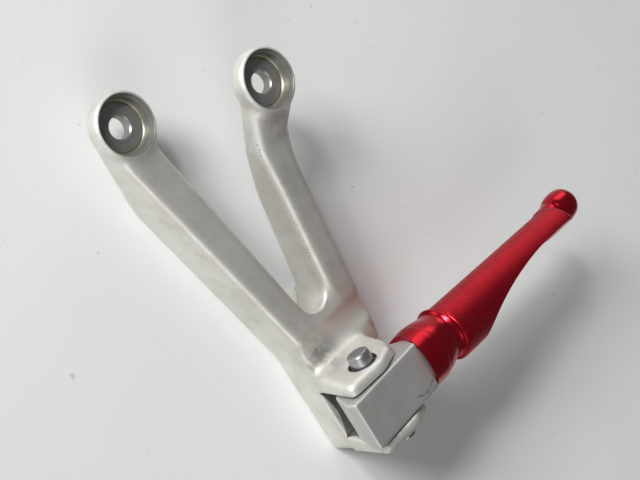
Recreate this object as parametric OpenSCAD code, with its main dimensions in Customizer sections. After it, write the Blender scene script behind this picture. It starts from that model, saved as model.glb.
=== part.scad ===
// Folding passenger footpeg on its cast V-shaped hanger.
// Origin: axis of the long arm's bolt hole, in the face that bolts to the frame.
// +Z runs out along the bolts, +X along the hinge pin, +Y along the folded peg.

/* [Bolt bosses] */
// Diameter of each boss
boss_d = 27.6; // [26:0.2:32]
// Height of a boss along its bolt
boss_h = 10; // [9:0.25:12]
// Diameter of the cup that takes the bolt head
cup_d = 24; // [20:0.2:24.6]
// Depth of the cup
cup_depth = 5.5; // [4:0.25:6.5]
// Diameter of the bolt hole
bolt_hole_d = 9; // [8.4:0.1:10.5]
// Place of the short arm's boss along the hinge pin
boss2_x = 16.6; // [12:0.2:22]
// Place of the short arm's boss along the folded peg
boss2_y = 57.8; // [52:0.2:62]
// Mounting face of the short arm's boss above the long arm's
boss2_z = 15.2; // [12:0.2:17]

/* [Arms] */
// Height of the long arm's flat face
arm_face_z = 8.5; // [7.5:0.25:9]
// Depth of the long arm's channel
arm_depth = 20.5; // [17:0.5:24]
// Depth of the short arm's channel at its knee
arm2_depth = 16; // [13:0.5:18]
// Width of the short arm
arm2_w = 15.6; // [14:0.1:17]
// Thickness of the channel walls
wall_t = 3; // [2.2:0.1:4]
// Thickness of the metal under the faces
face_t = 4; // [3:0.25:5]
// Radius of the cast edges
edge_r = 3.5; // [2:0.25:3.75]
// Radius of the crotch between the arms
crotch_r = 7.5; // [6:0.25:8.5]

/* [Clevis] */
// Hinge pin's middle along its own axis
hinge_x = 147.3; // [140:0.5:155]
// Hinge axis along the folded peg
hinge_y = 23.1; // [22:0.1:25]
// Hinge axis above the mounting face
hinge_z = 26; // [25:0.25:28]
// Thickness of an ear where the pin goes through
ear_t = 6.2; // [5.8:0.1:7.2]
// Height of the ears above the hinge axis
ear_rise = 9.8; // [8:0.1:12]
// Clearance between hinge block and ear
side_gap = 0.4; // [0.3:0.05:0.6]
// Clearance between the opened block's heel and the web
stop_gap = 0.5; // [0.35:0.05:0.8]

/* [Hinge pin] */
// Diameter of the hinge pin
pin_d = 8; // [7:0.1:9]
// Diameter of the pin's head
pin_head_d = 9.8; // [9.2:0.1:11]
// Reach of the pin's head from the middle of the clevis
pin_reach = 22.2; // [21:0.1:24]
// Reach of the pin's tail from the middle of the clevis
pin_tail = 20.2; // [19.2:0.1:22]
// Radial clearance of the pin in its bores
pin_fit = 0.05; // [0.02:0.01:0.1]

/* [Hinge block] */
// Width of the hinge block along the pin
block_w = 22; // [20:0.2:24]
// Thickness of the hinge block
block_t = 19; // [17:0.2:20]
// Heel of the block behind the pin
heel = 20.9; // [20:0.1:21.5]
// End of the block's round tang ahead of the pin
tang_end = 31; // [29:0.25:32]

/* [Peg] */
// Diameter of the flared collar
collar_d = 27; // [25.6:0.2:28]
// Diameter of the waist behind the collar
waist_d = 22.8; // [21:0.2:24]
// Diameter of the knurled grip at its inner end
grip_d = 25.2; // [25:0.2:27]
// Diameter of the knurled grip at its outer end
grip_tip_d = 23.8; // [23:0.2:24.4]
// Distance from hinge axis to the seat of the peg's screw
seat_q = 39; // [38:0.25:41]
// Distance from hinge axis to the start of the knurled grip
grip_start = 43; // [42:0.25:45]
// Distance from hinge axis to the outer end of the grip
grip_end = 134; // [125:0.5:140]
// Diameter of the knob at the tip
knob_d = 15.8; // [15:0.2:17]
// Diameter of the neck before the knob
neck_d = 12.4; // [11:0.1:13]
// Thickness of the grip's wall round its hollow
grip_wall = 1.6; // [1.3:0.1:2.5]
// Turn of the scooped side about the peg's axis
scoop_turn = 24; // [15:1:40]

/* [Peg screw] */
// Diameter of the screw
screw_d = 8; // [7:0.5:8]
// Diameter of the screw's head
screw_head_d = 13; // [12:0.1:13]
// Thickness of the lock washer under the head
lock_washer_t = 2; // [1.5:0.1:2.4]

/* [Hidden] */
$fn = 64;
BLEND_FN = 24;
EPS = 0.01;
// Long arm: its walls as straight lines, y = start + slope * x
long_left_y0 = -13.3;
long_left_slope = 0.232;
long_right_y0 = 6;
long_right_slope = 0.19;
long_end_x = hinge_x - 34;
arm_back_z = arm_face_z - arm_depth;
// Short arm: it drops from its boss, bends and runs down to the clevis
short_y = boss2_y - 10;
bend_x = boss2_x + 22;
knee_x = boss2_x + 40;
short_face_z = boss2_z + 2;
bend_face_z = short_face_z + 2.6;
// Clevis
slot_w = block_w + 2 * side_gap;
web_z = hinge_z - heel - stop_gap;
web_t = 4.1;
side_y = hinge_y - block_t / 2;
ear_foot_r = 2.5;
ear_top_r = 2.6;
ear_top_x = slot_w / 2 + ear_t - 0.5 - ear_top_r;
ear_foot_x = slot_w / 2 + ear_t + 2.1 - ear_foot_r;
ear_top_z = hinge_z + ear_rise - ear_top_r;
// Valley cast across the base at the foot of the near ear
valley_r = 9;
valley_depth = 2.6;
valley_x = ear_foot_x + ear_foot_r + valley_r - 0.9;
// Clip, washers and pin, measured from the middle of the clevis
head_seat = slot_w / 2 + ear_t - 3;
head_spot_r = pin_head_d / 2 + 1.5;
clip_seat = head_seat;
clip_spot_r = pin_d / 2 + 3;
pin_washer_t = 0.6;
clip_t = 0.9;
clip_r = pin_d / 2 + 1.8;
clip_groove_r = pin_d / 2 - 0.9;
clip_at = clip_seat + pin_washer_t + 0.1;
// Ball and spring that hold the peg folded or open
ball_r = 3;
ball_out = side_gap + 0.9;
ball_at = block_w / 2 - ball_r + ball_out;
ball_q0 = 11.5;
ball_bore_end = block_w / 2 - 10;
spring_wire_r = 0.4;
spring_turns = 5;
// Peg
bell_bore_r = block_w / 2 + 0.25;
tang_r = block_w / 2;
mouth_q = -5.3;
mouth_z = -1.9;
mouth_r = 28.4;
mouth_gap = 0.25;
lip_q = 17;
screw_len = 31;
screw_head_h = 8;
screw_bore_r = screw_d / 2 + 0.3;
head_bore_r = screw_head_d / 2 + 0.5;
grip_tilt = 3.4;
grip_shift = 1.4;
hollow_start = 76;
key_hole_r = 3.4;

// One corner of a cast arm: a post with a rounded top edge
module post(x, y, z_low, z_high, r = edge_r) {
    translate([x, y, z_low])
        cylinder(r = r, h = 1, $fn = BLEND_FN);
    translate([x, y, z_high - r])
        sphere(r = r, $fn = BLEND_FN);
}

function left_y(x) = long_left_y0 + long_left_slope * x + edge_r;
function right_y(x) = long_right_y0 + long_right_slope * x - edge_r;

// A pair of posts across the long arm
module long_pair(x, z_low) {
    post(x, left_y(x), z_low, arm_face_z);
    post(x, right_y(x), z_low, arm_face_z);
}

// A pair of posts across the short arm
module short_pair(x, half, y, z_low, z_high) {
    post(x, y - half + edge_r, z_low, z_high);
    post(x, y + half - edge_r, z_low, z_high);
}

module long_arm() {
    hull() {
        post(4, left_y(4), 0.5, arm_face_z);
        post(8, right_y(8), 0.5, arm_face_z);
        long_pair(33, arm_back_z);
    }
    hull() {
        long_pair(33, arm_back_z);
        long_pair(long_end_x, arm_back_z);
    }
}

module short_arm() {
    hull() {
        post(boss2_x + 4.4, boss2_y - 9.4, boss2_z + 0.4, boss2_z + arm_face_z - 0.3);
        post(boss2_x + 12, boss2_y + 3.6, boss2_z + 0.4, boss2_z + arm_face_z - 0.3);
        short_pair(bend_x, arm2_w / 2 + 0.5, short_y, bend_face_z - 10, bend_face_z);
    }
    hull() {
        short_pair(bend_x, arm2_w / 2 + 0.5, short_y, bend_face_z - 10, bend_face_z);
        short_pair(knee_x, arm2_w / 2, short_y, short_face_z - arm2_depth, short_face_z);
    }
    hull() {
        short_pair(knee_x, arm2_w / 2, short_y, short_face_z - arm2_depth, short_face_z);
        short_pair(long_end_x, arm2_w / 2, short_y, arm_back_z, arm_face_z);
    }
}

// Round end of the gap between the arms
module crotch() {
    translate([0, 0, arm_back_z])
        linear_extrude(arm_depth - 0.5)
            difference() {
                translate([long_end_x - 14, right_y(long_end_x - 14)])
                    square([16, short_y - right_y(long_end_x - 14)]);
                translate([long_end_x - 5.2 - crotch_r, (right_y(long_end_x - 14) + edge_r
                                                        + short_y - arm2_w / 2) / 2])
                    circle(r = crotch_r);
            }
}

// Boss turned about its bolt axis
module boss() {
    rotate_extrude()
        polygon([[0, 0], [boss_d / 2 - 2, 0], [boss_d / 2, boss_h * 0.4],
                 [boss_d / 2, boss_h - 0.6], [boss_d / 2 - 0.6, boss_h], [0, boss_h]]);
}

// Base that carries the two ears
module clevis_base() {
    hull() {
        post(long_end_x, side_y + edge_r, arm_back_z, arm_face_z);
        post(long_end_x, short_y + arm2_w / 2 - edge_r, arm_back_z, arm_face_z);
        post(hinge_x - 7, hinge_y + 25.5, arm_back_z, arm_face_z);
        post(hinge_x + 17, hinge_y + 17, arm_back_z, arm_face_z);
        post(hinge_x + 17, side_y + edge_r + 0.6, arm_back_z, arm_face_z);
    }
}

// Both ears as one leaning block, before the slot is milled
module clevis_head() {
    hull()
        for (side = [-1, 1]) {
            for (foot = [[side_y + 0.6, web_z], [hinge_y + 18.8, web_z]])
                translate([hinge_x + side * ear_foot_x, foot[0], foot[1]])
                    sphere(r = ear_foot_r, $fn = BLEND_FN);
            for (top = [[hinge_y - 14.7, ear_top_z - 2.2], [hinge_y + 1.4, ear_top_z],
                        [hinge_y + 10.4, ear_top_z - 3.8], [hinge_y + 15.4, ear_top_z - 12]])
                translate([hinge_x + side * ear_top_x, top[0], top[1]])
                    sphere(r = ear_top_r, $fn = BLEND_FN);
        }
}

// Hollows cast into the back of the arms and base
module back_hollows() {
    translate([0, 0, arm_back_z - 1])
        linear_extrude(arm_face_z - face_t - arm_back_z + 1)
            polygon([[26, left_y(26) - edge_r + wall_t], [long_end_x - 3, left_y(long_end_x) - edge_r + wall_t],
                     [long_end_x - 3, right_y(long_end_x - 12) + edge_r - wall_t],
                     [26, right_y(26) + edge_r - wall_t]]);
    translate([0, short_y + arm2_w / 2 - wall_t, 0])
        rotate([90, 0, 0])
            linear_extrude(arm2_w - 2 * wall_t)
                polygon([[knee_x - 4, arm_back_z - 1], [long_end_x - 3, arm_back_z - 1],
                         [long_end_x - 3, arm_face_z - face_t], [knee_x - 4, short_face_z - face_t]]);
    for (side = [-1, 1])
        translate([hinge_x + side * 7.6 - 5.6, side_y + wall_t + 1, arm_back_z - 1])
            cube([11.2, 24, web_z - web_t - arm_back_z + 1]);
    translate([long_end_x + 1.2, side_y + wall_t + 1, arm_back_z - 1])
        cube([16, 30, arm_face_z - face_t - valley_depth - arm_back_z + 1]);
}

module bracket() {
    color("silver")
        difference() {
            union() {
                boss();
                translate([boss2_x, boss2_y, boss2_z])
                    boss();
                long_arm();
                short_arm();
                crotch();
                clevis_base();
                clevis_head();
            }
            for (at = [[0, 0, 0], [boss2_x, boss2_y, boss2_z]])
                translate(at) {
                    translate([0, 0, -1])
                        cylinder(d = bolt_hole_d, h = boss_h + 2);
                    translate([0, 0, boss_h - cup_depth])
                        cylinder(d = cup_d, h = cup_depth + 3);
                    translate([0, 0, -8])
                        cylinder(d = cup_d - 1, h = 8);
                }
            back_hollows();
            translate([hinge_x - valley_x, -20, arm_face_z - valley_depth + valley_r])
                rotate([-90, 0, 0])
                    cylinder(r = valley_r, h = 100);
            translate([hinge_x - slot_w / 2, -20, web_z])
                cube([slot_w, 100, 80]);
            translate([hinge_x - 60, hinge_y, hinge_z])
                rotate([0, 90, 0])
                    cylinder(r = pin_d / 2 + pin_fit, h = 120);
            translate([hinge_x - head_seat, hinge_y, hinge_z])
                rotate([0, -90, 0])
                    cylinder(r = head_spot_r, h = 20);
            translate([hinge_x + clip_seat, hinge_y, hinge_z])
                rotate([0, 90, 0])
                    cylinder(r = clip_spot_r, h = 20);
            detent_track();
        }
}

// Track in the ear for the detent ball, with a pocket at each end of the travel
module detent_track() {
    at_hinge() {
        intersection() {
            translate([ball_at, 0, 0])
                rotate([0, 90, 0])
                    rotate_extrude()
                        translate([ball_q0, 0])
                            circle(r = ball_r + 0.15);
            translate([0, -2 * ball_q0, -2 * ball_q0])
                cube([30, 2 * ball_q0, 2 * ball_q0]);
        }
        for (end = [[-ball_q0, 0], [0, -ball_q0]])
            translate([ball_at, end[0], end[1]])
                sphere(r = ball_r + 0.3);
    }
}

// Moves to the hinge axis: +Y runs out along the peg, +Z is its outer side
module at_hinge() {
    translate([hinge_x, hinge_y, hinge_z])
        children();
}

// Turns a solid that is drawn along +Z so that it lies along the peg
module along_peg(q) {
    translate([0, q, 0])
        rotate([-90, 0, 0])
            children();
}

module hinge_block() {
    half = block_t / 2;
    color("gainsboro")
        at_hinge()
            difference() {
                union() {
                    intersection() {
                        translate([-block_w / 2, 0, 0])
                            rotate([90, 0, 90])
                                linear_extrude(block_w)
                                    polygon([[-heel, half], [-heel, 4.3], [-heel + 7, -half],
                                             [mouth_r, -half], [mouth_r, half]]);
                        translate([-block_w, mouth_q, mouth_z])
                            rotate([0, 90, 0])
                                cylinder(r = mouth_r - mouth_gap, h = 2 * block_w);
                    }
                    intersection() {
                        along_peg(0)
                            cylinder(r = tang_r, h = tang_end);
                        translate([-block_w / 2, 0, -half + 0.5])
                            cube([block_w, tang_end, block_t - 1]);
                    }
                }
                translate([-block_w, 0, 0])
                    rotate([0, 90, 0])
                        cylinder(r = pin_d / 2 + pin_fit, h = 2 * block_w);
                translate([ball_bore_end, -ball_q0, 0])
                    rotate([0, 90, 0])
                        cylinder(r = ball_r + 0.1, h = 12);
                along_peg(pin_d / 2 + 3)
                    cylinder(d = screw_d, h = tang_end);
            }
}

module pivot_pin() {
    color("dimgray")
        at_hinge()
            rotate([0, 90, 0])
                difference() {
                    rotate_extrude()
                        polygon([[0, -pin_reach], [pin_head_d / 2 - 1.1, -pin_reach],
                                 [pin_head_d / 2 - 0.35, -pin_reach + 0.35],
                                 [pin_head_d / 2, -pin_reach + 1.1], [pin_head_d / 2, -head_seat],
                                 [pin_d / 2, -head_seat], [pin_d / 2, pin_tail - 0.6],
                                 [pin_d / 2 - 0.6, pin_tail], [0, pin_tail]]);
                    translate([0, 0, clip_at - 0.05])
                        difference() {
                            cylinder(d = pin_d + 2, h = clip_t + 0.1);
                            translate([0, 0, -1])
                                cylinder(r = clip_groove_r, h = clip_t + 3);
                        }
                }
}

// Open clip that snaps into the groove of the pin
module pin_clip() {
    color("dimgray")
        at_hinge()
            translate([clip_at, 0, 0])
                rotate([0, 90, 0])
                    linear_extrude(clip_t)
                        difference() {
                            circle(r = clip_r);
                            circle(r = clip_groove_r + 0.05);
                            translate([0, -clip_groove_r + 0.4])
                                square([clip_r + 1, 2 * clip_groove_r - 0.8]);
                            for (side = [-1, 1])
                                translate([-1.2, side * (clip_groove_r + 1)])
                                    circle(r = 0.9);
                        }
}

// Point on the spring's wire: a turns round the coil, b round the wire
function coil_point(a, b, r, pitch) =
    [pitch * a / 360, (r + spring_wire_r * cos(b)) * cos(a), (r + spring_wire_r * cos(b)) * sin(a)]
    + [spring_wire_r * sin(b), 0, 0];

module coil(r, len) {
    steps = spring_turns * 20;
    sides = 8;
    pts = [for (i = [0 : steps]) for (j = [0 : sides - 1])
           coil_point(i * 18, j * 360 / sides, r, len / spring_turns)];
    walls = [for (i = [0 : steps - 1]) for (j = [0 : sides - 1])
             [i * sides + j, i * sides + (j + 1) % sides,
              (i + 1) * sides + (j + 1) % sides, (i + 1) * sides + j]];
    first = [for (j = [0 : sides - 1]) sides - 1 - j];
    last = [for (j = [0 : sides - 1]) steps * sides + j];
    polyhedron(points = pts, faces = concat([first], walls, [last]));
}

module detent_spring() {
    len = ball_at - ball_r - ball_bore_end - 2 * spring_wire_r;
    color("dimgray")
        at_hinge()
            translate([ball_bore_end + spring_wire_r, -ball_q0, 0])
                coil(ball_r - spring_wire_r - 0.2, len + 0.9);
}

module detent_ball() {
    color("gray")
        at_hinge()
            translate([ball_at, -ball_q0, 0])
                sphere(r = ball_r);
}

module ring_x(r_out, r_in, t) {
    rotate([0, 90, 0])
        difference() {
            cylinder(r = r_out, h = t);
            translate([0, 0, -1])
                cylinder(r = r_in, h = t + 2);
        }
}

module pin_washer() {
    color("gray")
        at_hinge()
            translate([clip_seat, 0, 0])
                ring_x(clip_spot_r - 0.6, pin_d / 2 + 0.15, pin_washer_t);
}

// Flared collar, waist and the step up to the grip, turned about the peg's axis
module collar() {
    rotate([-90, 0, 0])
        rotate_extrude()
            polygon([[0, lip_q], [collar_d / 2 - 0.4, lip_q], [collar_d / 2, lip_q + 8],
                     [collar_d / 2, lip_q + 13], [collar_d / 2 - 0.5, lip_q + 16],
                     [collar_d / 2 - 1.2, lip_q + 19], [waist_d / 2, seat_q + 0.5],
                     [waist_d / 2, grip_start - 1.2], [grip_d / 2 - 0.4, grip_start],
                     [grip_d / 2 - 0.4, grip_start + 3], [0, grip_start + 3]]);
}

// Places the knurled grip, which leans a little to the scooped side
module on_grip_axis() {
    rotate([0, -scoop_turn, 0])
        translate([grip_shift, grip_start, 0])
            rotate([0, 0, -grip_tilt])
                children();
}

// Neck and flattened knob, turned about the peg's axis
module neck_and_knob() {
    r = knob_d / 2;
    rotate([-90, 0, 0])
        translate([0, 0, grip_end])
            rotate_extrude()
                polygon([[0, -8], [neck_d / 2, -8], [neck_d / 2, 1.4], [r - 0.9, 3], [r - 0.2, 5],
                         [r, 7], [r - 0.1, 10], [r - 0.7, 12.4], [r - 1.8, 14.2], [r - 3.1, 15.2], [0, 15.4]]);
}

// Side profile of the scoop: x across the peg, y along it
module scoop_profile() {
    polygon([[30, grip_start + 13.5], [15.8, grip_start + 14], [14.3, grip_start + 15.5],
             [12, grip_start + 20], [9.9, grip_start + 26], [8.2, grip_start + 33],
             [7.1, grip_start + 39], [6.3, grip_start + 45], [5.5, grip_start + 54],
             [5.2, grip_start + 63], [5.4, grip_start + 71], [6, grip_start + 80],
             [6.7, grip_end - 4], [7.5, grip_end], [8, grip_end + 4], [30, grip_end + 4]]);
}

module peg() {
    color("crimson")
        at_hinge()
            difference() {
                union() {
                    collar();
                    on_grip_axis()
                        rotate([-90, 0, 0])
                            cylinder(d1 = grip_d, d2 = grip_tip_d, h = grip_end - grip_start);
                    neck_and_knob();
                }
                translate([-50, mouth_q, mouth_z])
                    rotate([0, 90, 0])
                        cylinder(r = mouth_r, h = 100);
                along_peg(lip_q - 1)
                    cylinder(r = bell_bore_r, h = tang_end - lip_q + 1);
                along_peg(lip_q)
                    cylinder(r = screw_bore_r, h = seat_q);
                along_peg(seat_q)
                    cylinder(r = head_bore_r, h = hollow_start - seat_q + 4);
                on_grip_axis()
                    rotate([-90, 0, 0])
                        translate([0, 0, hollow_start - grip_start])
                            cylinder(d1 = grip_d - 2 * grip_wall - 1, d2 = grip_tip_d - 2 * grip_wall,
                                     h = grip_end - hollow_start - 6);
                rotate([0, -scoop_turn, 0])
                    translate([0, 0, -30])
                        linear_extrude(60)
                            scoop_profile();
                along_peg(grip_end - 10)
                    cylinder(r = key_hole_r, h = 40);
            }
}

module peg_screw() {
    color("dimgray")
        at_hinge()
            along_peg(seat_q + lock_washer_t)
                difference() {
                    union() {
                        translate([0, 0, -screw_len + EPS])
                            cylinder(r = screw_d / 2 - 0.02, h = screw_len);
                        cylinder(d = screw_head_d, h = screw_head_h);
                    }
                    translate([0, 0, screw_head_h - 4.2])
                        cylinder(r = 3.46, h = 5, $fn = 6);
                }
}

module lock_washer() {
    color("gray")
        at_hinge()
            along_peg(seat_q)
                difference() {
                    cylinder(r = screw_head_d / 2 - 0.2, h = lock_washer_t);
                    translate([0, 0, -1])
                        cylinder(r = screw_d / 2 + 0.15, h = lock_washer_t + 2);
                }
}

bracket();
hinge_block();
pivot_pin();
pin_clip();
pin_washer();
detent_ball();
detent_spring();
peg();
peg_screw();
lock_washer();
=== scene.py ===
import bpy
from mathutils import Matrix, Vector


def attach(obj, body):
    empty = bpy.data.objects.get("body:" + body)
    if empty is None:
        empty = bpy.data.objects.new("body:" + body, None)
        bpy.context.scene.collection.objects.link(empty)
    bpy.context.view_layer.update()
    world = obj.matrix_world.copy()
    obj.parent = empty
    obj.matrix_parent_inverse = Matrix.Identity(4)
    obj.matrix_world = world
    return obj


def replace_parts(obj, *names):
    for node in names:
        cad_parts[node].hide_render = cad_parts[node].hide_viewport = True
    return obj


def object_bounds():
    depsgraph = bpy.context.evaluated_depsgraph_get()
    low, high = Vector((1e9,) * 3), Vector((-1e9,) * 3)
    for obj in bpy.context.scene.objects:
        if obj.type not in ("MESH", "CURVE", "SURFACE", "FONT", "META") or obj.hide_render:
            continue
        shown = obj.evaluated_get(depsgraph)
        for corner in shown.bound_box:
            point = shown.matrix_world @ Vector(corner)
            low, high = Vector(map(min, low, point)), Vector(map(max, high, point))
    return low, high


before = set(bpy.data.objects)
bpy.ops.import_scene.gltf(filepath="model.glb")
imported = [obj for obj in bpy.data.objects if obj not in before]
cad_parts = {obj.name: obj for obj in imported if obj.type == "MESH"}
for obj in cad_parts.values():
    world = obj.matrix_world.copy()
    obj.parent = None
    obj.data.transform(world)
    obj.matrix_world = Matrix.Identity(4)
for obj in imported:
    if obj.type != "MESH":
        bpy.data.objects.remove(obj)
cad_box = [[float(v) for v in corner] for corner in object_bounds()]

import bpy
import bmesh
import math
import numpy as np
from mathutils import Matrix, Vector

MM = 0.001

# ---------------------------------------------------------------- dimensions, in millimetres
HINGE = (147.3, 23.1, 26.0)
BOSSES = ((0.0, 0.0, 0.0), (16.6, 57.8, 15.2))
BOSS_H = 10.0
CUP_R, CUP_DEPTH, HOLE_R = 12.0, 5.5, 4.5
SLOT_HALF, WEB_Z = 11.4, 4.6
PIN_R = 4.0
HEAD_SEAT, HEAD_SPOT_R = 14.6, 6.4
CLIP_SEAT, CLIP_SPOT_R = 14.6, 7.0
BALL_X, BALL_Q, BALL_R = 9.3, 11.5, 3.0
SCOOP_TURN = math.radians(24)
GRIP_START, GRIP_END, SHOULDER = 43.0, 134.0, 130.5
GRIP_R, GRIP_TIP_R, GRIP_WALL = 12.6, 11.9, 1.6
GRIP_SHIFT, GRIP_TILT = 1.4, math.radians(3.4)
HOLLOW_START, HOLLOW_END = 76.0, 128.0
MOUTH = (-5.3, -1.9, 28.4)
BELL_R, TANG_END, SEAT_Q = 11.25, 31.0, 39.0
HEAD_BORE_R, SCREW_BORE_R, KEY_R = 7.0, 4.3, 3.4
KNURL, KNURL_DEPTH = 1.05, 0.16


# ---------------------------------------------------------------- mesh helpers
def mesh_object(name, verts, faces, smooth=True):
    me = bpy.data.meshes.new(name)
    me.from_pydata([tuple(c * MM for c in v) for v in verts], [], faces)
    me.validate()
    me.update()
    if smooth:
        me.polygons.foreach_set("use_smooth", [True] * len(me.polygons))
    ob = bpy.data.objects.new(name, me)
    bpy.context.scene.collection.objects.link(ob)
    return ob


def outward(ob):
    bm = bmesh.new()
    bm.from_mesh(ob.data)
    bmesh.ops.remove_doubles(bm, verts=bm.verts, dist=1e-7)
    bmesh.ops.recalc_face_normals(bm, faces=bm.faces)
    bm.to_mesh(ob.data)
    bm.free()
    return ob


def lathe(name, profile, segments=96, closed_ends=True):
    """Turns (radius, height) points about +Z."""
    verts, faces, rings = [], [], []
    for r, z in profile:
        if r < 1e-6:
            rings.append([len(verts)])
            verts.append((0, 0, z))
        else:
            rings.append(list(range(len(verts), len(verts) + segments)))
            for k in range(segments):
                a = 2 * math.pi * k / segments
                verts.append((r * math.cos(a), r * math.sin(a), z))
    for lo, hi in zip(rings, rings[1:]):
        for k in range(segments):
            n = (k + 1) % segments
            if len(lo) == 1 and len(hi) > 1:
                faces.append((lo[0], hi[n], hi[k]))
            elif len(hi) == 1 and len(lo) > 1:
                faces.append((lo[k], lo[n], hi[0]))
            elif len(lo) > 1:
                faces.append((lo[k], lo[n], hi[n], hi[k]))
    if closed_ends:
        if len(rings[0]) > 1:
            faces.append(tuple(reversed(rings[0])))
        if len(rings[-1]) > 1:
            faces.append(tuple(rings[-1]))
    return mesh_object(name, verts, faces)


def cylinder(name, r, z0, z1, segments=96):
    return lathe(name, [(r, z0), (r, z1)], segments)


def box(name, lo, hi):
    v = [(x, y, z) for x in (lo[0], hi[0]) for y in (lo[1], hi[1]) for z in (lo[2], hi[2])]
    f = [(0, 1, 3, 2), (4, 6, 7, 5), (0, 4, 5, 1), (2, 3, 7, 6), (0, 2, 6, 4), (1, 5, 7, 3)]
    return mesh_object(name, v, f, smooth=False)


def place(ob, matrix):
    """Moves a new piece's vertices, and leaves its object at the origin."""
    m = matrix.copy()
    m.translation = m.translation * MM
    ob.data.transform(m)
    if m.determinant() < 0:
        ob.data.flip_normals()
    ob.data.update()
    return ob


def at(x, y, z):
    return Matrix.Translation((x, y, z))


ALONG_X = Matrix.Rotation(math.pi / 2, 4, "Y")
ALONG_Y = Matrix.Rotation(-math.pi / 2, 4, "X")
PEG = at(*HINGE)
ON_GRIP = (PEG @ Matrix.Rotation(-SCOOP_TURN, 4, "Y") @ at(GRIP_SHIFT, GRIP_START, 0)
           @ Matrix.Rotation(-GRIP_TILT, 4, "Z"))


def drop(ob):
    me = ob.data
    bpy.data.objects.remove(ob, do_unlink=True)
    if me.users == 0:
        bpy.data.meshes.remove(me)


def apply_all(ob):
    """Replaces the piece's mesh by what its modifiers give."""
    deps = bpy.context.evaluated_depsgraph_get()
    new = bpy.data.meshes.new_from_object(ob.evaluated_get(deps))
    old = ob.data
    ob.modifiers.clear()
    ob.data = new
    if old.users == 0:
        bpy.data.meshes.remove(old)
    return ob


def boolean(ob, cutter):
    """Cuts the cutter out of the piece; the cut keeps the cutter's material."""
    mod = ob.modifiers.new("cut", "BOOLEAN")
    mod.operation = "DIFFERENCE"
    mod.solver = "EXACT"
    mod.material_mode = "TRANSFER"
    mod.object = cutter
    apply_all(ob)
    drop(cutter)
    return ob


def join(name, parts):
    bm = bmesh.new()
    for p in parts:
        bm.from_mesh(p.data)
    me = bpy.data.meshes.new(name)
    bm.to_mesh(me)
    bm.free()
    for p in parts:
        drop(p)
    ob = bpy.data.objects.new(name, me)
    bpy.context.scene.collection.objects.link(ob)
    return ob


def shade(ob, smooth_angle=32):
    """Smooth shading with sharp edges where the faces meet at more than the angle."""
    me = ob.data
    me.polygons.foreach_set("use_smooth", [True] * len(me.polygons))
    bm = bmesh.new()
    bm.from_mesh(me)
    limit = math.radians(smooth_angle)
    for e in bm.edges:
        e.smooth = not (len(e.link_faces) == 2 and e.calc_face_angle(0) > limit)
    bm.to_mesh(me)
    bm.free()
    return ob


def copy_node(node, name):
    """A copy of a solid's mesh, in the shared frame."""
    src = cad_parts[node]
    me = src.data.copy()
    me.materials.clear()
    ob = bpy.data.objects.new(name, me)
    bpy.context.scene.collection.objects.link(ob)
    ob.matrix_world = src.matrix_world
    ob.data.transform(ob.matrix_world)
    ob.matrix_world = Matrix.Identity(4)
    return ob


# ---------------------------------------------------------------- material helpers
def new_material(name):
    m = bpy.data.materials.new(name)
    m.use_nodes = True
    nt = m.node_tree
    bsdf = next(n for n in nt.nodes if n.type == "BSDF_PRINCIPLED")
    return m, nt, bsdf


def node(nt, kind, **values):
    n = nt.nodes.new(kind)
    for key, value in values.items():
        if key in n.inputs:
            n.inputs[key].default_value = value
        else:
            setattr(n, key, value)
    return n


def noise(nt, coord, scale, detail=4.0, rough=0.55, **kw):
    n = node(nt, "ShaderNodeTexNoise", **kw)
    n.inputs["Scale"].default_value = scale
    n.inputs["Detail"].default_value = detail
    n.inputs["Roughness"].default_value = rough
    nt.links.new(coord, n.inputs["Vector"])
    return n.outputs["Fac"]


def ramp(nt, fac, stops):
    r = nt.nodes.new("ShaderNodeValToRGB")
    el = r.color_ramp.elements
    while len(el) < len(stops):
        el.new(0.5)
    for e, (pos, col) in zip(el, stops):
        e.position = pos
        e.color = tuple(col) + (1.0,) if len(col) == 3 else col
    nt.links.new(fac, r.inputs["Fac"])
    return r.outputs["Color"]


def grey(v):
    return (v, v, v)


def mix(nt, fac, a, b, blend="MIX"):
    m = nt.nodes.new("ShaderNodeMix")
    m.data_type = "RGBA"
    m.blend_type = blend
    ins = [s for s in m.inputs if s.enabled]
    for sock, value in zip(ins, (fac, a, b)):
        if isinstance(value, bpy.types.NodeSocket):
            nt.links.new(value, sock)
        elif isinstance(value, (int, float)):
            sock.default_value = value
        else:
            sock.default_value = tuple(value) + (1.0,) if len(value) == 3 else value
    return next(s for s in m.outputs if s.enabled)


def maths(nt, op, a, b=None):
    n = nt.nodes.new("ShaderNodeMath")
    n.operation = op
    for sock, value in zip(n.inputs, (a, b)):
        if value is None:
            continue
        if isinstance(value, bpy.types.NodeSocket):
            nt.links.new(value, sock)
        else:
            sock.default_value = value
    return n.outputs[0]


def bump(nt, bsdf, height, strength, distance=0.0003, normal=None):
    b = nt.nodes.new("ShaderNodeBump")
    b.inputs["Strength"].default_value = strength
    b.inputs["Distance"].default_value = distance
    nt.links.new(height, b.inputs["Height"])
    if normal is not None:
        nt.links.new(normal, b.inputs["Normal"])
    nt.links.new(b.outputs["Normal"], bsdf.inputs["Normal"])
    return b.outputs["Normal"]


def object_coord(nt):
    return nt.nodes.new("ShaderNodeTexCoord").outputs["Object"]


def near(nt, coord, point, inner, outer):
    """1 within the inner distance (mm) of a point, falling to 0 at the outer one."""
    d = node(nt, "ShaderNodeVectorMath", operation="DISTANCE")
    nt.links.new(coord, d.inputs[0])
    d.inputs[1].default_value = tuple(c * MM for c in point)
    m = node(nt, "ShaderNodeMapRange")
    for key, value in (("From Min", inner * MM), ("From Max", outer * MM), ("To Min", 1.0), ("To Max", 0.0)):
        m.inputs[key].default_value = value
    nt.links.new(d.outputs["Value"], m.inputs["Value"])
    return m.outputs["Result"]


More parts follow.
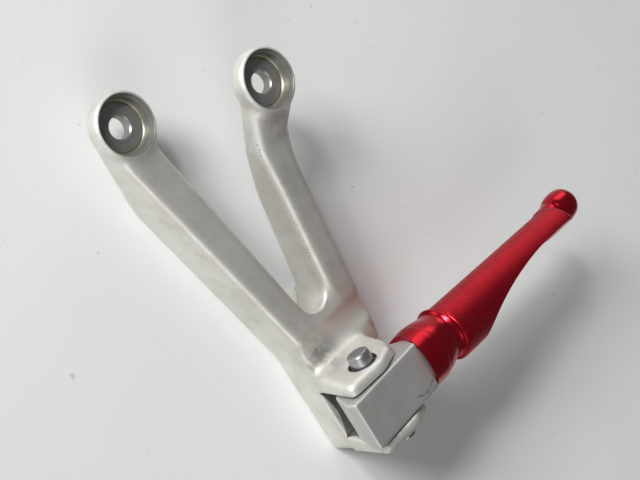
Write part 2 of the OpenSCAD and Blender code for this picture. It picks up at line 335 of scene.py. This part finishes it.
def cast_aluminium():
    m, nt, bsdf = new_material("cast_aluminium")
    co = object_coord(nt)
    large = noise(nt, co, 26, 5, 0.6)
    middle = noise(nt, co, 120, 5, 0.65)
    fine = noise(nt, co, 420, 3, 0.6)
    tiny = noise(nt, co, 1500, 2, 0.5)
    base = ramp(nt, large, [(0.30, (0.60, 0.59, 0.55)), (0.50, (0.68, 0.67, 0.63)),
                            (0.70, (0.74, 0.73, 0.69))])
    base = mix(nt, 0.5, base, ramp(nt, middle, [(0.35, (0.80, 0.78, 0.74)), (0.55, (1, 1, 1))]), "MULTIPLY")
    spots = ramp(nt, fine, [(0.25, (0.66, 0.63, 0.57)), (0.34, (1, 1, 1))])
    col = mix(nt, 0.55, base, spots, "MULTIPLY")
    # Blends in each patch: stains, and painted shade below the short arm's boss rim and in the valley at the
    # near ear's foot.
    for point, inner, outer, tint, amount in STAINS_AND_PAINTED_SHADE:
        patches = ramp(nt, middle, [(0.42, grey(0)), (0.58, grey(1))])
        mask = maths(nt, "MULTIPLY", near(nt, co, point, inner, outer), patches)
        col = mix(nt, maths(nt, "MULTIPLY", mask, amount), col, tint)
    # painted highlight: convex edges, found by pointiness, are lightened towards pale grey
    geo = nt.nodes.new("ShaderNodeNewGeometry")
    edge = ramp(nt, geo.outputs["Pointiness"], [(0.515, grey(0)), (0.57, grey(1))])
    col = mix(nt, maths(nt, "MULTIPLY", edge, 0.6), col, (0.80, 0.80, 0.79))
    nt.links.new(col, bsdf.inputs["Base Color"])
    bsdf.inputs["Metallic"].default_value = 0.68
    rough = ramp(nt, middle, [(0.3, grey(0.55)), (0.7, grey(0.45))])
    nt.links.new(rough, bsdf.inputs["Roughness"])
    n1 = bump(nt, bsdf, fine, 0.12, 0.0004)
    bump(nt, bsdf, tiny, 0.14, 0.00015, n1)
    return m


def cup_metal():
    """Turned seat of the bolt's head, stained in rings, and darkened overall as painted shade from its rim.
    """
    m, nt, bsdf = new_material("stained_cup_painted_shade")
    co = object_coord(nt)
    blot = noise(nt, co, 260, 4, 0.6)
    # dark base colour: partly an oily stain, partly painted shade cast by the rim over the walls and floor
    col = ramp(nt, blot, [(0.3, (0.22, 0.215, 0.20)), (0.7, (0.31, 0.305, 0.29))])
    for k, (x, y, z) in enumerate(BOSSES):
        rel = node(nt, "ShaderNodeVectorMath", operation="SUBTRACT")
        nt.links.new(co, rel.inputs[0])
        rel.inputs[1].default_value = (x * MM, y * MM, z * MM)
        flat = node(nt, "ShaderNodeVectorMath", operation="MULTIPLY")
        nt.links.new(rel.outputs[0], flat.inputs[0])
        flat.inputs[1].default_value = (1, 1, 0)
        length = node(nt, "ShaderNodeVectorMath", operation="LENGTH")
        nt.links.new(flat.outputs[0], length.inputs[0])
        radius = maths(nt, "MULTIPLY", length.outputs["Value"], 1 / (0.02))
        stain = ramp(nt, radius, [(0.44, grey(0)), (0.485, grey(0.8)), (0.53, grey(0.8)),
                                  (0.55, grey(0.15)), (0.62, grey(0))])
        patch = maths(nt, "MULTIPLY", stain, ramp(nt, blot, [(0.38, grey(0.1)), (0.6, grey(1))]))
        col = mix(nt, patch, col, (0.30, 0.29, 0.14))
        turned = maths(nt, "SINE", maths(nt, "MULTIPLY", radius, 190.0))
        col = mix(nt, maths(nt, "MULTIPLY", maths(nt, "ADD", turned, 1.0), 0.10), col, (0.20, 0.20, 0.19))
    nt.links.new(col, bsdf.inputs["Base Color"])
    bsdf.inputs["Metallic"].default_value = 0.6
    bsdf.inputs["Roughness"].default_value = 0.38
    bump(nt, bsdf, blot, 0.08, 0.0002)
    return m


def block_aluminium():
    m, nt, bsdf = new_material("machined_aluminium")
    co = object_coord(nt)
    mp = node(nt, "ShaderNodeMapping")
    mp.inputs["Scale"].default_value = (1, 14, 6)
    nt.links.new(co, mp.inputs["Vector"])
    streak = noise(nt, mp.outputs["Vector"], 60, 4, 0.6)
    blot = noise(nt, co, 90, 4, 0.6)
    base = ramp(nt, blot, [(0.3, (0.43, 0.425, 0.405)), (0.7, (0.51, 0.505, 0.485))])
    # an arc of scuffs near the collar
    spot = node(nt, "ShaderNodeVectorMath", operation="DISTANCE")
    nt.links.new(co, spot.inputs[0])
    spot.inputs[1].default_value = tuple(c * MM for c in SCUFF_CENTRE)
    torn = maths(nt, "MULTIPLY", noise(nt, co, 700, 4, 0.7), 0.0012)
    ragged = maths(nt, "ADD", spot.outputs["Value"], torn)
    band = maths(nt, "ABSOLUTE", maths(nt, "SUBTRACT", ragged, SCUFF_RADIUS * MM + 0.0006))
    arc = ramp(nt, maths(nt, "MULTIPLY", band, 1000.0), [(0.12, grey(1)), (0.5, grey(0))])
    arc = maths(nt, "MULTIPLY", arc, near(nt, co, SCUFF_MIDDLE, 5.0, 8.0))
    arc = maths(nt, "MULTIPLY", arc, ramp(nt, noise(nt, co, 420, 4, 0.7), [(0.42, grey(0)), (0.56, grey(1))]))
    base = mix(nt, maths(nt, "MULTIPLY", arc, 0.75), base, (0.11, 0.105, 0.10))
    # painted highlight: convex edges, found by pointiness, are lightened towards pale grey
    geo = nt.nodes.new("ShaderNodeNewGeometry")
    edge = ramp(nt, geo.outputs["Pointiness"], [(0.51, grey(0)), (0.56, grey(1))])
    base = mix(nt, maths(nt, "MULTIPLY", edge, 0.7), base, (0.80, 0.80, 0.79))
    nt.links.new(base, bsdf.inputs["Base Color"])
    bsdf.inputs["Metallic"].default_value = 0.6
    nt.links.new(ramp(nt, streak, [(0.3, grey(0.38)), (0.7, grey(0.50))]), bsdf.inputs["Roughness"])
    bump(nt, bsdf, streak, 0.10, 0.0002)
    return m


def steel(name, colour, rough):
    m, nt, bsdf = new_material(name)
    co = object_coord(nt)
    blot = noise(nt, co, 500, 4, 0.6)
    shades = ramp(nt, blot, [(0.3, tuple(c * 0.7 for c in colour)), (0.7, colour)])
    nt.links.new(shades, bsdf.inputs["Base Color"])
    bsdf.inputs["Metallic"].default_value = 0.9
    nt.links.new(ramp(nt, blot, [(0.3, grey(rough + 0.12)), (0.7, grey(rough))]), bsdf.inputs["Roughness"])
    bump(nt, bsdf, blot, 0.08, 0.0001)
    return m


def red_anodised(name="red_anodised", rough=0.16):
    m, nt, bsdf = new_material(name)
    co = object_coord(nt)
    blot = noise(nt, co, 120, 4, 0.6)
    shades = ramp(nt, blot, [(0.3, (0.40, 0.009, 0.018)), (0.7, (0.49, 0.013, 0.026))])
    nt.links.new(shades, bsdf.inputs["Base Color"])
    bsdf.inputs["Metallic"].default_value = 0.9
    nt.links.new(ramp(nt, blot, [(0.3, grey(rough + 0.08)), (0.7, grey(rough))]), bsdf.inputs["Roughness"])
    return m


# Stains and painted shade on the casting: place, full within, gone beyond, colour, strength. Rows: dark
# blotches at the crotch between the arms; a brownish stain beside the grip; a red tint on the near ear beside
# the collar; painted shade on the short arm just below its boss's rim; painted shade in the valley across the
# base at the near ear's foot.
STAINS_AND_PAINTED_SHADE = (((105.8, 33.5, 8.0), 1.0, 5.0, (0.16, 0.15, 0.12), 0.9),
          ((128.5, 52.0, 8.0), 1.0, 7.0, (0.24, 0.22, 0.15), 0.7),
          ((132.5, 37.0, 30.0), 1.0, 4.5, (0.50, 0.10, 0.07), 0.7),
          ((33.0, 50.0, 21.0), 2.0, 9.0, (0.34, 0.30, 0.27), 0.5),
          ((124.0, 20.0, 7.0), 4.0, 14.0, (0.27, 0.26, 0.24), 0.8))
SCUFF_CENTRE, SCUFF_RADIUS, SCUFF_MIDDLE = (146.0, 36.0, 35.5), 9.6, (155.0, 37.5, 35.5)

CAST = cast_aluminium()
BLOCK = block_aluminium()
STEEL = steel("pin_steel", (0.42, 0.42, 0.43), 0.30)
DARK = steel("spring_steel", (0.10, 0.10, 0.105), 0.40)
RED = red_anodised()
KNURLED = red_anodised("red_knurled", 0.28)
CUP = cup_metal()
# painted shade: the slot between the ears, the web floor, the pin bore, its spot-faces and the detent track
# are coloured dark grey for the shade inside them
RECESS_SHADE_ALUMINIUM = steel("recess_painted_shade", (0.34, 0.33, 0.31), 0.45)
# painted shade: the pore walls are near-black, standing for the shade inside each small pit
PORE = steel("pore", (0.10, 0.09, 0.07), 0.8)


def paint(ob, *materials):
    ob.data.materials.clear()
    for m in materials:
        ob.data.materials.append(m)
    return ob


def dress(node_name, material):
    """A better material on a solid that keeps its shape."""
    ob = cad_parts[node_name]
    if len(ob.material_slots) == 0:
        ob.data.materials.append(material)
    for s in ob.material_slots:
        s.material = material


# ---------------------------------------------------------------- the cast hanger
def fill_concave(ob, rounds, rate=0.5):
    """Lets the inner corners fill up, as in a casting, and leaves the rest in place."""
    me = ob.data
    n = len(me.vertices)
    co = np.empty(n * 3)
    me.vertices.foreach_get("co", co)
    co = co.reshape(-1, 3)
    ends = np.empty(len(me.edges) * 2, dtype=np.int64)
    me.edges.foreach_get("vertices", ends)
    a, b = ends[0::2], ends[1::2]
    degree = np.bincount(ends, minlength=n)[:, None]
    normals = np.empty(n * 3)
    for k in range(rounds):
        if k % 10 == 0:
            me.vertices.foreach_set("co", co.ravel())
            me.update()
            me.vertices.foreach_get("normal", normals)
            out = normals.reshape(-1, 3)
        mean = np.stack([np.bincount(a, weights=co[b, c], minlength=n)
                         + np.bincount(b, weights=co[a, c], minlength=n)
                         for c in range(3)], axis=1) / degree
        co = co + rate * np.maximum(((mean - co) * out).sum(axis=1), 0)[:, None] * out
    me.vertices.foreach_set("co", co.ravel())
    me.update()


def pits(ob):
    """Small pores along the short arm's inner edge, where the photograph shows them."""
    rng = np.random.default_rng(7)
    down = Vector((0.26, 0.58, -0.77)).normalized()
    for x0, x1, y0, y1, count in ((34.3, 40.0, 41.5, 40.1, 8), (66.0, 85.5, 37.1, 34.4, 16)):
        for _ in range(count):
            t = rng.uniform(0, 1)
            x = x0 + (x1 - x0) * t
            y = y0 + (y1 - y0) * t + rng.normal(0, 0.45)
            start = Vector((x, y, 18)) * MM - down * 0.02
            hit, spot, normal, _ = ob.ray_cast(start, down)
            radius = rng.uniform(0.13, 0.30)
            if hit:
                centre = spot / MM + normal * 0.35 * radius
                stone = lathe("c", [(0, -radius), (0.8 * radius, -0.6 * radius), (radius, 0),
                                    (0.8 * radius, 0.6 * radius), (0, radius)], 7)
                yield paint(place(stone, at(*centre) @ Matrix.Rotation(rng.uniform(0, 3), 4, "X")), PORE)


def track_cutters():
    """The detent ball's track in the far ear."""
    hinge = at(*HINGE)
    sections, sides = 25, 20
    verts, faces = [], []
    for i in range(sections):
        turn = math.radians(180 + 90 * i / (sections - 1))
        for k in range(sides):
            b = 2 * math.pi * k / sides
            q = BALL_Q + (BALL_R + 0.15) * math.cos(b)
            verts.append((BALL_X + (BALL_R + 0.15) * math.sin(b), q * math.cos(turn), q * math.sin(turn)))
    for i in range(sections - 1):
        for k in range(sides):
            n = (k + 1) % sides
            faces.append((i * sides + k, i * sides + n, (i + 1) * sides + n, (i + 1) * sides + k))
    faces.append(tuple(range(sides)))
    faces.append(tuple(reversed(range((sections - 1) * sides, sections * sides))))
    yield place(outward(mesh_object("c", verts, faces)), hinge)
    for y, z in ((-BALL_Q, 0), (0, -BALL_Q)):
        r = BALL_R + 0.3
        halves = [math.pi * k / 12 for k in range(13)]
        ball = lathe("c", [(r * math.sin(a), -r * math.cos(a)) for a in halves], 24)
        yield place(ball, hinge @ at(BALL_X, y, z))


def filler(start, corner, end, inner, bottom, top):
    """A web that rounds the corner between a boss and its arm, seen along Z.

    Bottom and top are each a height at the start and one at the end.
    """
    ring = [tuple((1 - t) ** 2 * a + 2 * t * (1 - t) * b + t * t * c for a, b, c in zip(start, corner, end))
            for t in (k / 12 for k in range(13))]
    ring.append(inner)
    n = len(ring)
    verts = [(x, y, z0 + (z1 - z0) * (x - start[0]) / (end[0] - start[0]))
             for z0, z1 in (bottom, top) for x, y in ring]
    faces = [(i, (i + 1) % n, n + (i + 1) % n, n + i) for i in range(n)]
    faces += [tuple(reversed(range(n))), tuple(range(n, 2 * n))]
    return outward(mesh_object("plug", verts, faces))


def cast_bracket():
    """The casting with soft edges, pits, stepped cups and true bores."""
    ob = copy_node("bracket", "bracket_cast")
    plugs = [ob]
    for x, y, z in BOSSES:
        cup_plug = cylinder("plug", CUP_R + 0.3, BOSS_H - CUP_DEPTH - 0.3, BOSS_H - 0.02)
        plugs.append(place(cup_plug, at(x, y, z)))
        plugs.append(place(cylinder("plug", HOLE_R + 0.3, 0.02, BOSS_H - 1), at(x, y, z)))
    for side in (-1, 1):
        a, b = sorted((side * (SLOT_HALF + 0.4), side * (SLOT_HALF + 3.2)))
        plugs.append(place(cylinder("plug", PIN_R + 0.4, a, b), at(*HINGE) @ ALONG_X))
    plugs.append(filler((9.0, 10.3), (14.1, 7.2), (25.2, 8.7), (13.8, 4.4), (-1.2, -9.6), (7.4, 7.4)))
    plugs.append(filler((29.4, 62.0), (40.9, 58.3), (53.3, 54.8), (38.4, 53.0), (13.0, 1.6), (19.6, 15.8)))
    ob = join("bracket_cast", plugs)
    mod = ob.modifiers.new("remesh", "REMESH")
    mod.mode = "VOXEL"
    mod.voxel_size = 0.8 * MM
    mod.adaptivity = 0.0
    sm = ob.modifiers.new("soften", "SMOOTH")
    sm.factor = 0.5
    sm.iterations = 12
    apply_all(ob)
    fill_concave(ob, 160)
    sm = ob.modifiers.new("soften", "SMOOTH")
    sm.factor = 0.5
    sm.iterations = 6
    apply_all(ob)
    paint(ob, CAST, CUP, RECESS_SHADE_ALUMINIUM, PORE)
    for cutter in list(pits(ob)):
        boolean(ob, cutter)
    for x, y, z in BOSSES:
        floor_z = BOSS_H - CUP_DEPTH
        cutter = lathe("c", [(HOLE_R, -3), (HOLE_R, floor_z - 0.6), (HOLE_R + 0.6, floor_z),
                             (CUP_R - 2.4, floor_z), (CUP_R - 2.1, floor_z - 0.25),
                             (CUP_R - 1.7, floor_z - 0.25), (CUP_R - 1.2, floor_z + 0.2),
                             (CUP_R - 0.9, floor_z + 1.1), (CUP_R - 0.8, BOSS_H - 1.9),
                             (CUP_R, BOSS_H - 1.5), (CUP_R, BOSS_H - 0.6), (CUP_R + 0.45, BOSS_H),
                             (CUP_R + 0.45, BOSS_H + 4)])
        boolean(ob, paint(place(cutter, at(x, y, z)), CUP))
    hinge = at(*HINGE) @ ALONG_X
    head_spot = [(HEAD_SPOT_R, -30), (HEAD_SPOT_R, -HEAD_SEAT - 0.4), (HEAD_SPOT_R - 0.4, -HEAD_SEAT)]
    clip_spot = [(CLIP_SPOT_R - 0.4, CLIP_SEAT), (CLIP_SPOT_R, CLIP_SEAT + 0.4), (CLIP_SPOT_R, 30)]
    cutters = [place(cylinder("c", PIN_R + 0.05, -40, 40), hinge),
               place(lathe("c", head_spot), hinge),
               place(lathe("c", clip_spot), hinge),
               box("c", (HINGE[0] - SLOT_HALF, -20, WEB_Z), (HINGE[0] + SLOT_HALF, 90, 60))]
    cutters += list(track_cutters())
    # the cut faces take the dark grey painted shade of recesses
    for cutter in cutters:
        boolean(ob, paint(cutter, RECESS_SHADE_ALUMINIUM))
    shade(ob, 38)
    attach(ob, "hanger")
    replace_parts(ob, "bracket")
    return ob


# ---------------------------------------------------------------- the hinge block
def worn_block():
    """The block with edges worn round, and its bores kept true."""
    ob = copy_node("hinge_block", "hinge_block_worn")
    plug = place(cylinder("plug", PIN_R + 0.4, -10.98, 10.98), at(*HINGE) @ ALONG_X)
    ob = join("hinge_block_worn", [ob, plug])
    mod = ob.modifiers.new("remesh", "REMESH")
    mod.mode = "VOXEL"
    mod.voxel_size = 0.4 * MM
    sm = ob.modifiers.new("soften", "SMOOTH")
    sm.factor = 0.5
    sm.iterations = 30
    apply_all(ob)
    paint(ob, BLOCK)
    boolean(ob, paint(place(cylinder("c", PIN_R + 0.05, -40, 40), at(*HINGE) @ ALONG_X), BLOCK))
    shade(ob, 38)
    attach(ob, "folding_peg")
    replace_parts(ob, "hinge_block")
    return ob


# ---------------------------------------------------------------- the red peg
def smoothstep(x, lo, hi):
    t = np.clip((x - lo) / (hi - lo), 0, 1)
    return t * t * (3 - 2 * t)


# The scoop's edge, as (across the peg, along it)
SCOOP_EDGE = [(15.8, 57), (14.3, 58.5), (12, 63), (9.9, 69), (8.2, 76), (7.1, 82), (6.3, 88),
              (5.5, 97), (5.2, 106), (5.4, 114), (6, 123), (6.7, 130), (7.5, 134), (8, 138)]


def spline_profile(points, steps=6):
    """Catmull-Rom curve through (radius, height) points."""
    pts = [points[0]] + list(points) + [points[-1]]
    out = []
    for i in range(1, len(pts) - 2):
        p0, p1, p2, p3 = [np.array(p, float) for p in pts[i - 1:i + 3]]
        for s in range(steps):
            t = s / steps
            out.append(tuple(0.5 * (2 * p1 + (p2 - p0) * t + (2 * p0 - 5 * p1 + 4 * p2 - p3) * t * t
                                    + (3 * p1 - p0 - 3 * p2 + p3) * t ** 3)))
    out.append(tuple(points[-1]))
    return [(max(r, 0.0), z) for r, z in out]


def scoop_x(q):
    """Distance of the scoop's edge from the axis at a place along the peg."""
    return np.interp(q, [p[1] for p in SCOOP_EDGE], [p[0] for p in SCOOP_EDGE], left=40)


def grip_radius(q):
    """Radius of the grip before its knurl."""
    r = GRIP_R + (GRIP_TIP_R - GRIP_R) * (q - GRIP_START) / (GRIP_END - GRIP_START)
    chamfer = np.clip((GRIP_START + 1.1 - q) / 1.1, 0, 1) * 0.7
    t = np.clip((q - SHOULDER) / (GRIP_END + 0.6 - SHOULDER), 0, 1)
    return r - chamfer - 4.2 * (1 - np.sqrt(1 - t * t))


def grip():
    """The knurled grip, scooped and hollow."""
    step = KNURL / 4
    q = np.arange(GRIP_START, GRIP_END + 0.6 - 1e-6, step)
    q = np.append(q, GRIP_END + 0.6)
    around = 4 * int(round(2 * math.pi * GRIP_R / KNURL))
    a = np.arange(around) * 2 * math.pi / around
    r = grip_radius(q)[:, None] + 0 * a[None, :]
    fade = smoothstep(q, GRIP_START + 1.3, GRIP_START + 1.9)
    fade = (fade * (1 - smoothstep(q, SHOULDER - 1.0, SHOULDER + 0.5)))[:, None]
    clear = scoop_x(q)[:, None] - r * np.cos(a)[None, :]
    fade = fade * smoothstep(clear, 0.5, 1.6)
    ring = np.cos(2 * math.pi * (q - GRIP_START) / KNURL)[:, None]
    spline = np.cos(a * around / 4)[None, :]
    tooth = 0.5 * (ring + spline)
    r = r + KNURL_DEPTH * fade * tooth
    along = (q - GRIP_START)[:, None] + 0 * r
    verts = np.stack([r * np.cos(a)[None, :], along, r * np.sin(a)[None, :]], axis=-1).reshape(-1, 3)
    n = len(q)
    k = np.arange(around)
    nx = (k + 1) % around
    faces = []
    for i in range(n - 1):
        lo, hi = i * around, (i + 1) * around
        faces += list(zip((lo + k).tolist(), (hi + k).tolist(), (hi + nx).tolist(), (lo + nx).tolist()))
    faces.append(tuple((k).tolist()))
    faces.append(tuple(((n - 1) * around + k[::-1]).tolist()))
    ob = mesh_object("peg_grip", verts.tolist(), faces)
    place(ob, ON_GRIP)
    paint(ob, KNURLED, RED)
    # scoop, hollow and screw bore
    edge = [(30, 57)] + spline_profile(SCOOP_EDGE, 5) + [(30, 138)]
    m = len(edge)
    v = [(x, y, z) for z in (-30, 30) for x, y in edge]
    f = [tuple(range(m)), tuple(reversed(range(m, 2 * m)))]
    f += [(i, i + m, (i + 1) % m + m, (i + 1) % m) for i in range(m)]
    cutter = outward(mesh_object("c", v, f, smooth=False))
    place(cutter, PEG @ Matrix.Rotation(-SCOOP_TURN, 4, "Y"))
    boolean(ob, paint(cutter, RED))
    inner = [(GRIP_R - GRIP_WALL - 2.5, HOLLOW_START - GRIP_START),
             (GRIP_R - GRIP_WALL - 0.6, HOLLOW_START + 2 - GRIP_START),
             (GRIP_TIP_R - GRIP_WALL, HOLLOW_END - GRIP_START - 1.5),
             (GRIP_TIP_R - GRIP_WALL - 1.5, HOLLOW_END - GRIP_START)]
    boolean(ob, paint(place(lathe("c", inner), ON_GRIP @ ALONG_Y), RED))
    boolean(ob, paint(place(cylinder("c", HEAD_BORE_R, SEAT_Q, HOLLOW_START + 4), PEG @ ALONG_Y), RED))
    boolean(ob, paint(place(cylinder("c", KEY_R, HOLLOW_END - 4, GRIP_END + 20), PEG @ ALONG_Y), RED))
    shade(ob, 50)
    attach(ob, "folding_peg")
    return ob


def collar():
    """The flared collar, its waist and the ring before the knurl."""
    bell = spline_profile([(12.9, 15.0), (13.15, 20.0), (13.45, 25.0), (13.6, 27.6), (13.5, 29.2)], 4)
    groove = [(13.25, 29.5), (13.2, 29.9)]
    waist = spline_profile([(13.3, 30.3), (13.05, 32.4), (12.55, 34.8), (11.95, 37.0),
                            (11.45, 39.0), (11.3, 40.6)], 4)
    ring = [(11.5, 41.1), (12.1, 41.9), (12.35, 42.2), (12.5, 42.6), (12.5, 43.1), (12.3, 43.4)]
    profile = bell + groove + waist + ring
    outer = [(0, 15.0)] + profile + [(0, 43.4)]
    ob = place(lathe("peg_collar", outer, 192, closed_ends=False), PEG @ ALONG_Y)
    paint(ob, RED)
    q, z, r = MOUTH
    c = place(cylinder("c", r, -60, 60, 160), PEG @ at(0, q, z) @ ALONG_X)
    boolean(ob, paint(c, RED))
    inner = [(BELL_R, 10), (BELL_R, TANG_END), (SCREW_BORE_R, TANG_END), (SCREW_BORE_R, SEAT_Q),
             (HEAD_BORE_R, SEAT_Q), (HEAD_BORE_R, 50)]
    boolean(ob, paint(place(lathe("c", inner), PEG @ ALONG_Y), RED))
    shade(ob, 35)
    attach(ob, "folding_peg")
    return ob


def knob():
    """The knob at the end, on its short neck."""
    profile = [(6.15, 128.2)]
    profile += spline_profile([(6.2, 130.0), (6.25, 133.0), (6.3, 134.9), (6.6, 136.0), (7.2, 137.2),
                               (7.65, 138.8), (7.9, 141.2), (7.8, 144.2), (7.3, 146.4), (6.4, 148.0),
                               (5.3, 148.95), (4.3, 149.3)], 5)
    profile += [(3.9, 149.4), (KEY_R, 149.0), (KEY_R, 128.2)]
    ob = place(outward(lathe("peg_knob", profile + [profile[0]], 128, closed_ends=False)), PEG @ ALONG_Y)
    paint(ob, RED)
    shade(ob, 40)
    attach(ob, "folding_peg")
    return ob


# ---------------------------------------------------------------- dressing
cast_bracket()
worn_block()
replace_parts(grip(), "peg")
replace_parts(collar(), "peg")
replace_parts(knob(), "peg")
dress("pivot_pin", STEEL)
dress("pin_clip", DARK)
dress("pin_washer", STEEL)
dress("detent_ball", STEEL)
dress("detent_spring", DARK)
dress("peg_screw", DARK)
dress("lock_washer", DARK)


# ---------------------------------------------------------------- floor, light and camera
def floor():
    low = cad_box[0][2]
    n = 2.0
    me = bpy.data.meshes.new("floor")
    me.from_pydata([(-n, -n, low), (n, -n, low), (n, n, low), (-n, n, low)], [], [(0, 1, 2, 3)])
    ob = bpy.data.objects.new("floor", me)
    bpy.context.scene.collection.objects.link(ob)
    m, nt, bsdf = new_material("pale_table")
    co = object_coord(nt)
    cloud = noise(nt, co, 9, 3, 0.5)
    speck = ramp(nt, noise(nt, co, 160, 3, 0.5), [(0.235, grey(0.6)), (0.275, grey(1))])
    col = ramp(nt, cloud, [(0.35, (0.765, 0.78, 0.775)), (0.65, (0.79, 0.80, 0.79))])
    nt.links.new(mix(nt, 0.6, col, speck, "MULTIPLY"), bsdf.inputs["Base Color"])
    bsdf.inputs["Roughness"].default_value = 0.5
    bsdf.inputs["Specular IOR Level"].default_value = 0.3
    me.materials.append(m)
    return ob


def area(name, direction, distance, size, power, colour=(1, 1, 1), target=(80 * MM, 50 * MM, 0)):
    """A soft lamp that sends its light along the direction, towards the target."""
    light = bpy.data.lights.new(name, "AREA")
    light.shape = "RECTANGLE"
    light.size, light.size_y = size
    light.energy = power
    light.color = colour
    ob = bpy.data.objects.new(name, light)
    d = Vector(direction).normalized()
    ob.location = Vector(target) - d * distance
    ob.rotation_euler = d.to_track_quat("-Z", "Y").to_euler()
    bpy.context.scene.collection.objects.link(ob)
    return ob


floor()
area("near_window", (1.243, 0.634, -1.0), 2.2, (0.32, 0.32), 19.3)
area("far_window", (1.62, 1.36, -1.0), 2.2, (0.66, 0.60), 42.0)

world = bpy.data.worlds.new("studio")
bpy.context.scene.world = world
world.use_nodes = True
sky = world.node_tree
ROOM_LIGHT = 0.12
sky_coord = sky.nodes.new("ShaderNodeTexCoord").outputs["Generated"]


def glow(direction, outer, inner, strength):
    """A soft bright patch of the room: full within the inner cosine, gone beyond the outer one."""
    dot = node(sky, "ShaderNodeVectorMath", operation="DOT_PRODUCT")
    sky.links.new(sky_coord, dot.inputs[0])
    dot.inputs[1].default_value = tuple(Vector(direction).normalized())
    m = node(sky, "ShaderNodeMapRange", interpolation_type="SMOOTHSTEP")
    for key, value in (("From Min", outer), ("From Max", inner), ("To Min", 0.0), ("To Max", strength)):
        m.inputs[key].default_value = value
    sky.links.new(dot.outputs["Value"], m.inputs["Value"])
    return m.outputs["Result"]


# a plain room with one bright side behind the peg and one in front of the long arm
behind_peg = glow((-0.79, 0.60, 0.08), 0.88, 0.985, 2.0)
before_arm = glow((0.48, -0.70, 0.51), 0.92, 0.985, 2.4)
room = maths(sky, "ADD", behind_peg, before_arm)
sky.links.new(maths(sky, "ADD", room, ROOM_LIGHT), sky.nodes["Background"].inputs["Strength"])
sky.nodes["Background"].inputs["Color"].default_value = (1.0, 1.0, 0.995, 1.0)

camera_data = bpy.data.cameras.new("camera")
camera_data.sensor_width = 36
camera_data.lens = 78.75
camera_data.clip_start = 0.01
camera = bpy.data.objects.new("camera", camera_data)
right = Vector((0.501998, 0.598195, 0.624629))
up = Vector((-0.823800, 0.550636, 0.134734))
back = Vector((-0.263346, -0.582206, 0.769211))
eye = Vector((-66.354, -286.276, 453.064)) * MM
camera.matrix_world = Matrix.Translation(eye) @ Matrix((right, up, back)).transposed().to_4x4()
bpy.context.scene.collection.objects.link(camera)
bpy.context.scene.camera = camera
bpy.context.scene.view_settings.view_transform = "Standard"
